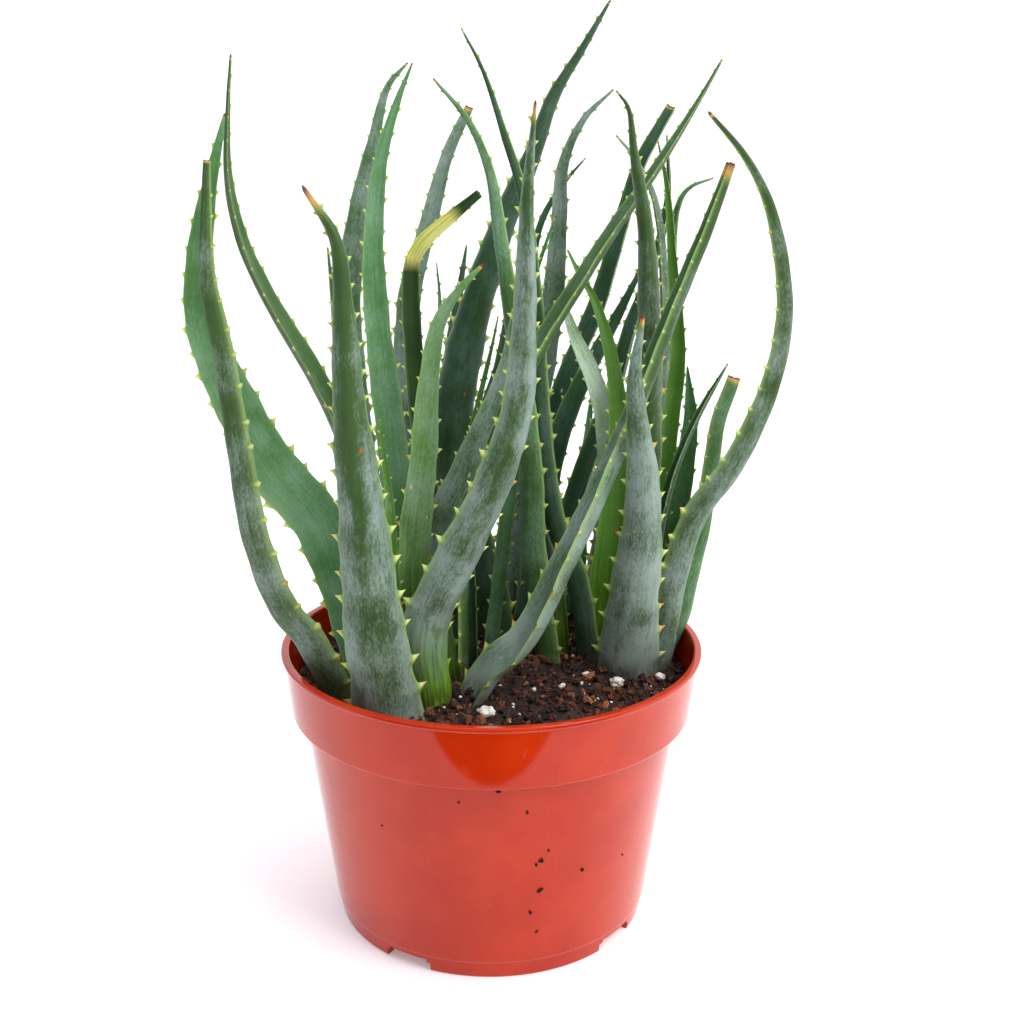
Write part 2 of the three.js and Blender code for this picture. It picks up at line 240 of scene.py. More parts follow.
def step(tree, value, low, high, to_low=0.0, to_high=1.0):
    """A smooth step from low to high."""
    ins = {0: value, 1: low, 2: high, 3: to_low, 4: to_high}
    return put(tree, "MapRange", ins, interpolation_type="SMOOTHSTEP").outputs[0]


def grain(tree, vector, scale, detail=2.0, roughness=0.5):
    """A noise value."""
    ins = {"Vector": vector, "Scale": scale, "Detail": detail, "Roughness": roughness}
    return put(tree, "TexNoise", ins).outputs["Fac"]


def stretched(tree, vector, by):
    """A vector multiplied axis by axis."""
    return put(tree, "VectorMath", {0: vector, 1: by}, operation="MULTIPLY").outputs[0]


def bumped(tree, height, strength, distance):
    """A bump's normal."""
    ins = {"Height": height, "Strength": strength, "Distance": distance}
    return put(tree, "Bump", ins).outputs["Normal"]


def rgb(r, g, b):
    """A colour from display values of 0 to 255."""
    def linear(c):
        c /= 255
        return c / 12.92 if c <= 0.04045 else ((c + 0.055) / 1.055) ** 2.4
    return (linear(r), linear(g), linear(b), 1)


def new_material(name):
    """A node material with only its output and one Principled BSDF."""
    material = bpy.data.materials.new(name)
    material.use_nodes = True
    tree = material.node_tree
    return material, tree, tree.nodes["Principled BSDF"]


pot_plastic, tree, skin = new_material("pot_plastic")
where = put(tree, "TexCoord").outputs["Object"]
cloud = grain(tree, where, 30, 3, 0.6)
hairline = grain(tree, stretched(tree, where, (1.0, 1.0, 0.03)), 900, 2, 0.7)
scratch = step(tree, hairline, 0.66, 0.72)
turn_mark = grain(tree, stretched(tree, where, (0.02, 0.02, 1.0)), 1400, 2, 0.6)
dust = step(tree, grain(tree, where, 700, 4, 0.7), 0.6, 0.72)
low_down = step(tree, put(tree, "SeparateXYZ", {0: where}).outputs[2], 0.06, 0.0)
dust = calc(tree, "MULTIPLY", dust, plus(tree, 0.12, low_down, 0.5))
orange = mix(tree, step(tree, cloud, 0.35, 0.7), rgb(178, 38, 2), rgb(190, 48, 6))
orange = mix(tree, calc(tree, "MULTIPLY", scratch, 0.1), orange, rgb(226, 110, 80))
orange = mix(tree, dust, orange, rgb(120, 70, 50))
gloss = plus(tree, 0.03, cloud, 0.06)
gloss = plus(tree, gloss, scratch, 0.12)
ripple = plus(tree, calc(tree, "MULTIPLY", turn_mark, 0.3), scratch, -0.5)
ripple = plus(tree, ripple, cloud, 2.0)
feed(tree, skin, {
    "Base Color": orange, "Roughness": plus(tree, gloss, dust, 0.4), "IOR": 1.42,
    "Normal": bumped(tree, ripple, 0.12, 0.05 * MM),
    "Subsurface Weight": 0.08, "Subsurface Radius": (1.0, 0.25, 0.1), "Subsurface Scale": 2 * MM,
})

pot_outline = rounded_outline([
    (0, FLOOR_Z, 0),
    (FOOT_R - 5.5 * MM, FLOOR_Z, 0.8 * MM),
    (FOOT_R - 4.2 * MM, 0, 0.7 * MM),
    (FOOT_R, 0, 0.9 * MM),
    (FOOT_R + 0.9 * MM, FOOT_LINE_Z, 0.4 * MM),
    (BODY_FOOT_R, BODY_FOOT_Z, 0.4 * MM),
    (BODY_R, BODY_TOP_Z, 1.2 * MM),
    (COLLAR_R - 0.5 * MM, COLLAR_Z, 0.9 * MM),
    (COLLAR_R, COLLAR_Z + 0.8 * MM, 0.9 * MM),
    (RIM_R - 0.9 * MM, POT_H - 1.9 * MM, 0.5 * MM),
    (RIM_R, POT_H - 1.5 * MM, 0.5 * MM),
    (RIM_R, POT_H, 0.7 * MM),
    (RIM_R - 3 * MM, POT_H, 0.7 * MM),
    (COLLAR_R - WALL, COLLAR_Z + 3 * MM, 2 * MM),
    (BODY_R - WALL, COLLAR_Z + 0.4 * MM, 1.5 * MM),
    (FOOT_R - 1.2 * MM, FLOOR_Z + WALL + 1.2 * MM, 1 * MM),
    (FOOT_R - 2.8 * MM, FLOOR_Z + WALL, 1 * MM),
    (0, FLOOR_Z + WALL, 0),
])
pot_mesh = turned("pot_shell", pot_outline, POT_SIDES)
cutters = [notch(angle) for angle in NOTCH_AT_DEG] + [drain_hole(k) for k in range(DRAIN_HOLES)]
pot_mesh = cut(pot_mesh, cutters)
shade(pot_mesh, 40)
pot = place("pot_shell", pot_mesh, pot_plastic)
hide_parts("pot")
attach(pot, "root")

# ---------------------------------------------------------------------------------------------
# Soil
# One plug of dark peat: a lumpy crust, loose crumbs of peat and bark lying on it, short red-brown
# coir fibres tangled through the crumbs, and fine white mineral specks mixed in when it was blended.
# The crust is nearly black: partly the peat's own dark brown, partly painted shade in the gaps
# between the crumbs.
# ---------------------------------------------------------------------------------------------

SOIL_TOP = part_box("soil")[1].z
SOIL_R = COLLAR_R - WALL - 0.5 * MM
SOIL_DROP = 4.5 * MM
SOIL_RINGS = 100
SOIL_SPOKES = 280
CRUMBS = 2400
LUMPS = 560
FIBRES = 330
SPECKS = 260


def soil_height(x, y):
    """Height of the crust at a point, lumps included."""
    from_centre = math.hypot(x, y) / SOIL_R
    lump = noise.fractal(Vector((x, y, 0.3)) * 95, 0.8, 2.2, 3) * 1.6
    clod = (0.45 - noise.voronoi(Vector((x, y, 0.1)) * 210)[0][0]) * 2.2
    settle = max(0.0, from_centre - 0.9) * 10
    return SOIL_TOP - SOIL_DROP * from_centre + (lump + clod - 0.6) * MM - settle * MM


def joined_mesh(name, parts):
    """One mesh from (vertices, faces) parts."""
    verts = np.concatenate([v for v, f in parts])
    faces = []
    start = 0
    for v, f in parts:
        faces.extend([[i + start for i in face] for face in f])
        start += len(v)
    mesh = bpy.data.meshes.new(name)
    mesh.from_pydata(verts.tolist(), [], faces)
    mesh.validate()
    return mesh


def lump_shapes(count, seed, subdivisions, roughness):
    """Irregular unit grains as (vertices, faces), made by pushing a ball's surface in and out."""
    shapes = []
    for k in range(count):
        bm = bmesh.new()
        bmesh.ops.create_icosphere(bm, subdivisions=subdivisions, radius=1)
        offset = Vector((seed + k * 7.3, k * 3.1, seed * 1.7))
        for v in bm.verts:
            push = noise.noise(v.co * 1.1 + offset) * roughness
            push += noise.noise(v.co * 2.9 + offset) * roughness * 0.5
            v.co *= 1 + push
        bm.verts.index_update()
        verts = np.array([v.co for v in bm.verts])
        shapes.append((verts, [[v.index for v in f.verts] for f in bm.faces]))
        bm.free()
    return shapes


def toned(mesh, parts, draw):
    """Stores on a joined mesh one random tone for each of its parts."""
    tones = np.concatenate([np.full(len(v), draw.random()) for v, f in parts])
    mesh.attributes.new("tone", "FLOAT", "POINT").data.foreach_set("value", tones.astype(np.float32))


def scattered(shapes, places, draw):
    """Copies of shapes at (x, y, z, size), each turned and squashed its own way."""
    parts = []
    for x, y, z, size in places:
        verts, faces = draw.choice(shapes)
        squash = np.array([draw.uniform(0.7, 1.3), draw.uniform(0.7, 1.1), draw.uniform(0.5, 0.9)])
        angle = draw.uniform(0, 6.28)
        axis = Vector((draw.gauss(0, 1), draw.gauss(0, 1), 1))
        turn = np.array(Matrix.Rotation(angle, 3, axis))
        parts.append(((verts * squash * size) @ turn.T + np.array([x, y, z]), faces))
    return parts


def on_soil(draw, sink, size_low, size_high, power=2.0):
    """A random place on the crust, as (x, y, z, size)."""
    r = SOIL_R * 0.985 * math.sqrt(draw.random())
    a = draw.uniform(0, 2 * math.pi)
    x, y = r * math.cos(a), r * math.sin(a)
    size = size_low + (size_high - size_low) * draw.random() ** power
    return x, y, soil_height(x, y) + size * sink, size


peat, tree, skin = new_material("peat")
where = put(tree, "TexCoord").outputs["Object"]
coarse = grain(tree, where, 240, 4, 0.65)
fine = grain(tree, where, 1600, 3, 0.7)
tone = put(tree, "Attribute", attribute_name="tone").outputs["Fac"]
# The base colour is nearly black: partly the peat's own dark brown, partly painted shade that stands for
# the shadow in the gaps between the crumbs. The crumbs' own tones lie over it.
brown = mix(tree, step(tree, coarse, 0.4, 0.65), rgb(12, 7, 6), rgb(34, 18, 13))
brown = mix(tree, step(tree, tone, 0.2, 0.75), brown, rgb(96, 50, 30))
brown = mix(tree, step(tree, tone, 0.86, 1.0), brown, rgb(168, 110, 72))
brown = mix(tree, step(tree, fine, 0.5, 0.7, 0.0, 0.6), brown, rgb(128, 70, 42))
damp = step(tree, grain(tree, where, 60, 2, 0.5), 0.4, 0.6)
brown = mix(tree, calc(tree, "MULTIPLY", damp, 0.35), brown, rgb(14, 8, 7))
feed(tree, skin, {
    "Base Color": brown, "Roughness": step(tree, damp, 0, 1, 0.95, 0.6),
    "Normal": bumped(tree, plus(tree, coarse, fine, 0.6), 0.9, 0.8 * MM),
})

crust_verts = [(0, 0, soil_height(0, 0))]
crust_faces = []
for i in range(1, SOIL_RINGS + 1):
    for k in range(SOIL_SPOKES):
        a = 2 * math.pi * k / SOIL_SPOKES
        r = SOIL_R * i / SOIL_RINGS
        x, y = r * math.cos(a), r * math.sin(a)
        crust_verts.append((x, y, soil_height(x, y)))
wall_profile = [
    (SOIL_R, COLLAR_Z + 4 * MM),
    (BODY_R - WALL - 0.6 * MM, COLLAR_Z),
    (FOOT_R - 2.5 * MM, FLOOR_Z + WALL + 1.5 * MM),
]
for r, z in wall_profile:
    for k in range(SOIL_SPOKES):
        a = 2 * math.pi * k / SOIL_SPOKES
        crust_verts.append((r * math.cos(a), r * math.sin(a), z))
crust_verts.append((0, 0, wall_profile[-1][1]))
for k in range(SOIL_SPOKES):
    n = (k + 1) % SOIL_SPOKES
    crust_faces.append((0, 1 + k, 1 + n))
    for i in range(SOIL_RINGS + len(wall_profile) - 1):
        a = 1 + i * SOIL_SPOKES
        crust_faces.append((a + k, a + SOIL_SPOKES + k, a + SOIL_SPOKES + n, a + n))
    last = 1 + (SOIL_RINGS + len(wall_profile) - 1) * SOIL_SPOKES
    crust_faces.append((len(crust_verts) - 1, last + n, last + k))
crust_mesh = bpy.data.meshes.new("soil_crust")
crust_mesh.from_pydata(crust_verts, [], crust_faces)
shade(crust_mesh, 60)
crust = place("soil_crust", crust_mesh, peat)
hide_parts("soil")
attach(crust, "root")

for name, count, subdivisions, smallest, largest in (
    ("soil_crumbs", CRUMBS, 2, 0.4 * MM, 1.3 * MM), ("soil_lumps", LUMPS, 3, 0.9 * MM, 2.1 * MM),
):
    crumb_draw = random.Random(count)
    crumb_places = [on_soil(crumb_draw, 0.5, smallest, largest, 1.6) for k in range(count)]
    crumb_parts = scattered(lump_shapes(14, 3.0, subdivisions, 0.9), crumb_places, crumb_draw)
    crumb_mesh = joined_mesh(name, crumb_parts)
    toned(crumb_mesh, crumb_parts, crumb_draw)
    shade(crumb_mesh, 50)
    crumbs = place(name, crumb_mesh, peat)
    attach(crumbs, "root")

# Crumbs that stuck to the pot's outside when it was filled: degrees round from the front, height in
# millimetres, and size.
STUCK = (
    (2, 81, 0.9), (10, 72, 0.7), (17, 55, 0.6), (15, 51, 1.0), (13.5, 49.5, 0.8), (15, 38, 0.9),
    (12.5, 29, 0.9), (15, 20, 0.6), (29, 43, 0.6), (46, 42, 0.4), (-34, 60, 0.5), (-9, 76, 0.5),
    (100, 40, 0.7), (171, 62, 0.8), (-128, 33, 0.6),
)
STUCK_R = 0.8 * MM
STUCK_OUT = 0.2 * MM
stuck_draw = random.Random(31)
stuck_places = []
for degrees, height, size in STUCK:
    a = math.radians(degrees - 90)
    up = (height * MM - BODY_FOOT_Z) / (BODY_TOP_Z - BODY_FOOT_Z)
    r = BODY_FOOT_R + (BODY_R - BODY_FOOT_R) * up + size * STUCK_OUT
    stuck_places.append((r * math.cos(a), r * math.sin(a), height * MM, size * STUCK_R))
stuck_parts = scattered(lump_shapes(9, 71.0, 3, 1.5), stuck_places, stuck_draw)
stuck_mesh = joined_mesh("stuck_crumbs", stuck_parts)
shade(stuck_mesh, 50)
stuck = place("stuck_crumbs", stuck_mesh, peat)
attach(stuck, "root")

coir, tree, skin = new_material("coir")
where = put(tree, "TexCoord").outputs["Object"]
tone = grain(tree, where, 90, 3, 0.6)
strand = mix(tree, step(tree, tone, 0.35, 0.65), rgb(48, 24, 16), rgb(132, 82, 54))
feed(tree, skin, {
    "Base Color": strand, "Roughness": 0.62,
    "Normal": bumped(tree, grain(tree, where, 3000, 2, 0.6), 0.5, 0.1 * MM),
})

FIBRE_POINTS = 7
FIBRE_SIDES = 5
fibre_draw = random.Random(23)
fibre_parts = []
for k in range(FIBRES):
    x, y, z, thick = on_soil(fibre_draw, 1.0, 0.09 * MM, 0.26 * MM, 1.6)
    length = fibre_draw.uniform(3, 11) * MM
    heading = fibre_draw.uniform(0, 2 * math.pi)
    curl = fibre_draw.gauss(0, 0.35)
    lift = abs(fibre_draw.gauss(0, 0.9)) * MM
    verts = []
    for i in range(FIBRE_POINTS):
        share = i / (FIBRE_POINTS - 1)
        radius = thick * (1 - 0.6 * share)
        ground = soil_height(x, y) if math.hypot(x, y) < SOIL_R * 0.98 else z
        middle = Vector((x, y, ground + 0.5 * MM + lift * math.sin(share * 3.14)))
        side = Vector((-math.sin(heading), math.cos(heading), 0))
        for s in range(FIBRE_SIDES):
            a = 2 * math.pi * s / FIBRE_SIDES
            verts.append(middle + (side * math.cos(a) + Vector((0, 0, 1)) * math.sin(a)) * radius)
        x += math.cos(heading) * length / FIBRE_POINTS
        y += math.sin(heading) * length / FIBRE_POINTS
        heading += curl
        if math.hypot(x, y) > SOIL_R * 0.97:
            heading = math.atan2(-y, -x)
    faces = [list(range(FIBRE_SIDES))[::-1]]
    for i in range(FIBRE_POINTS - 1):
        for s in range(FIBRE_SIDES):
            a = i * FIBRE_SIDES
            n = (s + 1) % FIBRE_SIDES
            faces.append([a + s, a + n, a + FIBRE_SIDES + n, a + FIBRE_SIDES + s])
    faces.append([(FIBRE_POINTS - 1) * FIBRE_SIDES + s for s in range(FIBRE_SIDES)])
    fibre_parts.append((np.array(verts), faces))
fibre_mesh = joined_mesh("coir_fibres", fibre_parts)
shade(fibre_mesh, 80)
fibres = place("coir_fibres", fibre_mesh, coir)
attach(fibres, "root")

# ---------------------------------------------------------------------------------------------
# Perlite
# White volcanic glass popped like corn: brittle round-cornered grains full of tiny open bubbles,
# whose pits are painted a greyer white as shade.
# The seven larger ones lie pressed into the crust; the small ones are specks among the crumbs.
# ---------------------------------------------------------------------------------------------

perlite, tree, skin = new_material("perlite")
where = put(tree, "TexCoord").outputs["Object"]
ins = {"Vector": where, "Scale": 1500.0}
bubbles = put(tree, "TexVoronoi", ins).outputs["Distance"]
stain = step(tree, grain(tree, where, 400, 3, 0.6), 0.5, 0.7)
white = mix(tree, calc(tree, "MULTIPLY", stain, 0.5), rgb(238, 230, 222), rgb(176, 150, 130))
# The bottoms of the bubble pits are painted a greyer white: painted shade in the hollows.
white = mix(tree, step(tree, bubbles, 0.22, 0.0), white, rgb(186, 172, 160))
feed(tree, skin, {
    "Base Color": white, "Roughness": step(tree, stain, 0, 1, 0.8, 0.95),
    "Normal": bumped(tree, bubbles, 0.8, 0.4 * MM),
    "Subsurface Weight": 0.15, "Subsurface Scale": 0.6 * MM,
})

PERLITE_GRAINS = 7
grain_shapes = lump_shapes(PERLITE_GRAINS, 40.0, 4, 0.55)
for k in range(PERLITE_GRAINS):
    low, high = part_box(f"perlite_{k + 1}")
    verts, faces = grain_shapes[k]
    span = np.array(verts.max(0) - verts.min(0))
    place_at = np.array((low + high) / 2)
    sized = (verts - (verts.max(0) + verts.min(0)) / 2) / span * np.array(high - low)
    mesh = joined_mesh(f"perlite_grain_{k + 1}", [(sized + place_at, faces)])
    shade(mesh, 60)
    lump = place(f"perlite_grain_{k + 1}", mesh, perlite)
    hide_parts(f"perlite_{k + 1}")
    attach(lump, "root")

speck_draw = random.Random(5)
speck_places = [on_soil(speck_draw, 0.5, 0.25 * MM, 0.95 * MM, 2.2) for k in range(SPECKS)]
speck_parts = scattered(lump_shapes(8, 60.0, 2, 0.6), speck_places, speck_draw)
speck_mesh = joined_mesh("perlite_specks", speck_parts)
shade(speck_mesh, 60)
specks = place("perlite_specks", speck_mesh, perlite)
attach(specks, "root")

# ---------------------------------------------------------------------------------------------
# Leaf skin
# Aloe flesh under a tough waxy skin: green, frosted with a grey-blue bloom of wax that wears off in
# streaks and blotches. The edge is a paler ridge that runs out into hooked teeth, and old tips dry.
# ---------------------------------------------------------------------------------------------


def attribute(tree, name, output="Fac"):
    """A value stored on the leaf's own mesh."""
    return put(tree, "Attribute", attribute_name=name).outputs[output]


def skin_group():
    """The shader group that colours every leaf from what its mesh says of itself."""
    group = bpy.data.node_groups.new("leaf_skin", "ShaderNodeTree")
    face = group.interface
    for name, kind in (
        ("Outer", "NodeSocketColor"), ("Inner", "NodeSocketColor"), ("Bloom", "NodeSocketColor"),
        ("Cover", "NodeSocketFloat"), ("Blotches", "NodeSocketFloat"),
    ):
        face.new_socket(name, in_out="INPUT", socket_type=kind)
    for name, kind in (
        ("Color", "NodeSocketColor"), ("Roughness", "NodeSocketFloat"), ("Height", "NodeSocketFloat"),
    ):
        face.new_socket(name, in_out="OUTPUT", socket_type=kind)
    given = group.nodes.new("NodeGroupInput").outputs
    result = group.nodes.new("NodeGroupOutput").inputs

    grown = attribute(group, "grown", "Vector")
    inner = attribute(group, "inner_face")
    edge = attribute(group, "edge")
    tooth = attribute(group, "tooth")
    dried = attribute(group, "dried")
    withered = attribute(group, "withered")
    sheath = attribute(group, "sheath")
    worn = attribute(group, "worn")
    along = put(group, "SeparateXYZ", {0: grown}).outputs[2]

    speckle = grain(group, stretched(group, grown, (1, 1, 0.45)), 1500, 2, 0.6)
    streak = grain(group, stretched(group, grown, (1, 1, 0.035)), 1300, 3, 0.6)
    cloud = grain(group, stretched(group, grown, (1, 1, 0.4)), 150, 4, 0.62)
    blot = grain(group, stretched(group, grown, (1, 1, 0.55)), 170, 4, 0.62)
    band = grain(group, stretched(group, grown, (0.3, 0.3, 1)), 55, 2, 0.5)

    # The stored wear takes off bloom. It also holds the bare bloom, which on one leaf is painted shade that
    # darkens its green.
    wax = calc(group, "SUBTRACT", given["Cover"], worn)
    for value, weight in ((cloud, 1.3), (speckle, 1.0), (streak, 0.45), (band, -1.3)):
        wax = plus(group, wax, calc(group, "SUBTRACT", value, 0.5), weight)
    wax = step(group, wax, 0.0, 1.0)

    flesh = mix(group, inner, given["Outer"], given["Inner"])
    dark = mix(group, 1.0, flesh, (0.42, 0.5, 0.36, 1), "MULTIPLY")
    flesh = mix(group, step(group, streak, 0.3, 0.62, 0.3, 0.0), flesh, dark)
    flesh = mix(group, step(group, band, 0.52, 0.66, 0.0, 0.35), flesh, dark)
    color = mix(group, wax, flesh, given["Bloom"])
    spots = calc(group, "MULTIPLY", step(group, blot, 0.6, 0.67), given["Blotches"])
    color = mix(group, spots, color, mix(group, 0.35, flesh, dark))

    ins = {"Vector": stretched(group, grown, (1, 1, 0.6)), "Scale": 130.0}
    cells = put(group, "TexVoronoi", ins)
    fleck = step(group, cells.outputs["Distance"], 0.1, 0.05)
    pick = put(group, "SeparateColor", {0: cells.outputs["Color"]}).outputs
    fleck = calc(group, "MULTIPLY", fleck, step(group, pick[0], 0.78, 0.8))
    fleck_tone = mix(group, step(group, pick[1], 0.45, 0.55), rgb(208, 190, 160), rgb(168, 92, 50))
    color = mix(group, calc(group, "MULTIPLY", fleck, 0.8), color, fleck_tone)

    color = mix(group, calc(group, "MULTIPLY", edge, 0.55), color, rgb(150, 180, 108))
    yolk = mix(group, step(group, tooth, 0.05, 0.5), rgb(116, 152, 58), rgb(204, 212, 128))
    scorched = step(group, grain(group, grown, 60, 0, 0.5), 0.66, 0.7)
    scorched = calc(group, "MULTIPLY", scorched, step(group, tooth, 0.1, 0.5))
    yolk = mix(group, scorched, yolk, rgb(206, 140, 70))
    yolk = mix(group, step(group, tooth, 0.86, 1.0, 0.0, 0.6), yolk, rgb(150, 92, 48))
    color = mix(group, step(group, tooth, 0.0, 0.22), color, yolk)

    fresh = mix(group, step(group, streak, 0.35, 0.65), rgb(62, 108, 8), rgb(122, 168, 34))
    color = mix(group, sheath, color, fresh)

    straw = mix(group, step(group, streak, 0.35, 0.6), rgb(188, 184, 66), rgb(226, 226, 138))
    rust = step(group, grain(group, stretched(group, grown, (1, 1, 0.3)), 500, 3, 0.6), 0.62, 0.7)
    straw = mix(group, calc(group, "MULTIPLY", rust, 0.6), straw, rgb(120, 84, 30))
    color = mix(group, withered, color, straw)

    ramp = put(group, "ValToRGB", {0: dried})
    stops = ramp.color_ramp.elements
    stops[0].color = rgb(112, 134, 44)
    stops[1].color = rgb(108, 66, 48)
    for at, tone in ((0.4, rgb(150, 160, 70)), (0.66, rgb(214, 172, 92)), (0.84, rgb(200, 142, 96))):
        stops.new(at).color = tone
    husk = mix(group, step(group, streak, 0.4, 0.6, 0.0, 0.35), ramp.outputs["Color"], rgb(120, 70, 40))
    color = mix(group, step(group, dried, 0.0, 0.6), color, husk)

    soiled = calc(group, "MULTIPLY", step(group, along, 0.014, 0.006), step(group, cloud, 0.35, 0.6))
    color = mix(group, calc(group, "MULTIPLY", soiled, 0.7), color, rgb(60, 44, 30))
    group.links.new(color, result["Color"])

    dead = calc(group, "ADD", dried, withered)
    dull = plus(group, 0.36, wax, 0.18)
    dull = plus(group, dull, dead, 0.25)
    group.links.new(plus(group, dull, speckle, 0.12), result["Roughness"])
    relief = plus(group, calc(group, "MULTIPLY", streak, 0.7), speckle, 0.35)
    relief = plus(group, relief, cloud, 0.9)
    group.links.new(plus(group, relief, calc(group, "MULTIPLY", dead, streak), 3.0), result["Height"])
    return group


leaf_skin = skin_group()


def leaf_material(name, outer, inner, bloom, cover, blotches):
    """One finish of leaf skin, with its own greens and its own amount of bloom."""
    material, tree, skin = new_material(name)
    group = tree.nodes.new("ShaderNodeGroup")
    group.node_tree = leaf_skin
    feed(tree, group, {
        "Outer": outer, "Inner": inner, "Bloom": bloom, "Cover": cover, "Blotches": blotches,
    })
    feed(tree, skin, {
        "Base Color": group.outputs["Color"], "Roughness": group.outputs["Roughness"], "IOR": 1.4,
        "Normal": bumped(tree, group.outputs["Height"], 0.55, 0.25 * MM),
        "Subsurface Weight": 0.12, "Subsurface Radius": (0.5, 1.0, 0.25), "Subsurface Scale": 1.6 * MM,
    })
    return material


GREY = leaf_material("leaf_grey_skin", rgb(58, 88, 36), rgb(68, 104, 54), rgb(136, 154, 146), 0.64, 0.5)
GREEN = leaf_material("leaf_green_skin", rgb(66, 104, 48), rgb(78, 128, 68), rgb(112, 150, 118), 0.46, 0.4)
# The dark finish is partly the leaves' own deeper green and partly painted shade, for leaves that stand in
# shade.
DARK_SHADED = leaf_material("leaf_dark_shaded_skin", rgb(40, 74, 34), rgb(46, 84, 44), rgb(72, 100, 84), 0.42, 0.6)
YOUNG = leaf_material("leaf_young_skin", rgb(72, 120, 30), rgb(86, 134, 42), rgb(128, 158, 124), 0.34, 0.2)
PALE = leaf_material("leaf_pale_skin", rgb(150, 186, 142), rgb(160, 194, 150), rgb(206, 228, 208), 0.6, 0.2)
# The deep finish is a darker green made as a painted-shade look.
DEEP_SHADED = leaf_material("leaf_deep_shaded_skin", rgb(34, 62, 18), rgb(42, 74, 26), rgb(72, 98, 66), 0.3, 0.4)

# ---------------------------------------------------------------------------------------------
# How a leaf is shaped
# A leaf is one piece of flesh: a shallow channel on the inner face, a rounded keel outside, and two
# edges that carry the teeth. It tapers from a broad foot, which clasps the stem, to a horny point.
# ---------------------------------------------------------------------------------------------

LEAF_FOOT = 93
RING_STEP = 2.6 * MM
CHANNEL = 0.38
EDGE_RISE = 0.645
KEEL = 2.025
INNER_ACROSS = (1, 0.985, 0.92, 0.71, 0.38, 0, -0.38, -0.71, -0.92, -0.985, -1)
OUTER_ACROSS = (-0.985, -0.94, -0.8, -0.55, -0.28, 0, 0.28, 0.55, 0.8, 0.94, 0.985)
TOOTH_RINGS = (-1.5, -0.8, -0.4, -0.14, 0, 0.14, 0.4, 0.8, 1.5)
TOOTH_BASE = 0.78
TOOTH_HOOK = 0.6
TOOTH_TALLEST = 3.3 * MM
TOOTH_GAP = 13.5 * MM
TOOTH_GAP_LOSS = 6 * MM


def grown_curve(points, count=500):
    """A centripetal Catmull-Rom curve through the points, evenly spaced, with its length."""
    p = np.array(points, float)
    p = np.vstack([2 * p[0] - p[1], p, 2 * p[-1] - p[-2]])
    dense = []
    for i in range(1, len(p) - 2):
        before, start, stop, after = p[i - 1:i + 3]
        legs = (start - before, stop - start, after - stop)
        gap = [max(np.linalg.norm(leg) ** 0.5, 1e-6) for leg in legs]
        leave = (start - before) / gap[0] - (stop - before) / (gap[0] + gap[1]) + (stop - start) / gap[1]
        arrive = (stop - start) / gap[1] - (after - start) / (gap[1] + gap[2]) + (after - stop) / gap[2]
        leave, arrive = leave * gap[1], arrive * gap[1]
        t = np.linspace(0, 1, 60, endpoint=i == len(p) - 3)[:, None]
        square = (-3 * start + 3 * stop - 2 * leave - arrive) * t**2
        cube = (2 * start - 2 * stop + leave + arrive) * t**3
        dense.append(start + leave * t + square + cube)
    dense = np.vstack(dense)
    run = np.concatenate([[0], np.cumsum(np.linalg.norm(np.diff(dense, axis=0), axis=1))])
    even = np.linspace(0, run[-1], count)
    return np.stack([np.interp(even, run, dense[:, k]) for k in range(3)], 1), run[-1]


def unit(v):
    """Vectors scaled to length one."""
    return v / np.linalg.norm(v, axis=-1, keepdims=True)


def tooth_places(length, width, draw):
    """Where the teeth of one edge sit along the leaf, with their sizes."""
    teeth = []
    at = draw.uniform(8, 16) * MM
    tallest = min(TOOTH_TALLEST, 1.5 * MM + 0.09 * width)
    while at < length - 4 * MM:
        share = at / length
        size = tallest * (1 - 0.62 * share) * draw.uniform(0.75, 1.12)
        teeth.append((at, size))
        gap = (TOOTH_GAP - TOOTH_GAP_LOSS * share) * draw.uniform(0.75, 1.25)
        at += gap * min(1, 0.6 + width / (30 * MM))
    return teeth


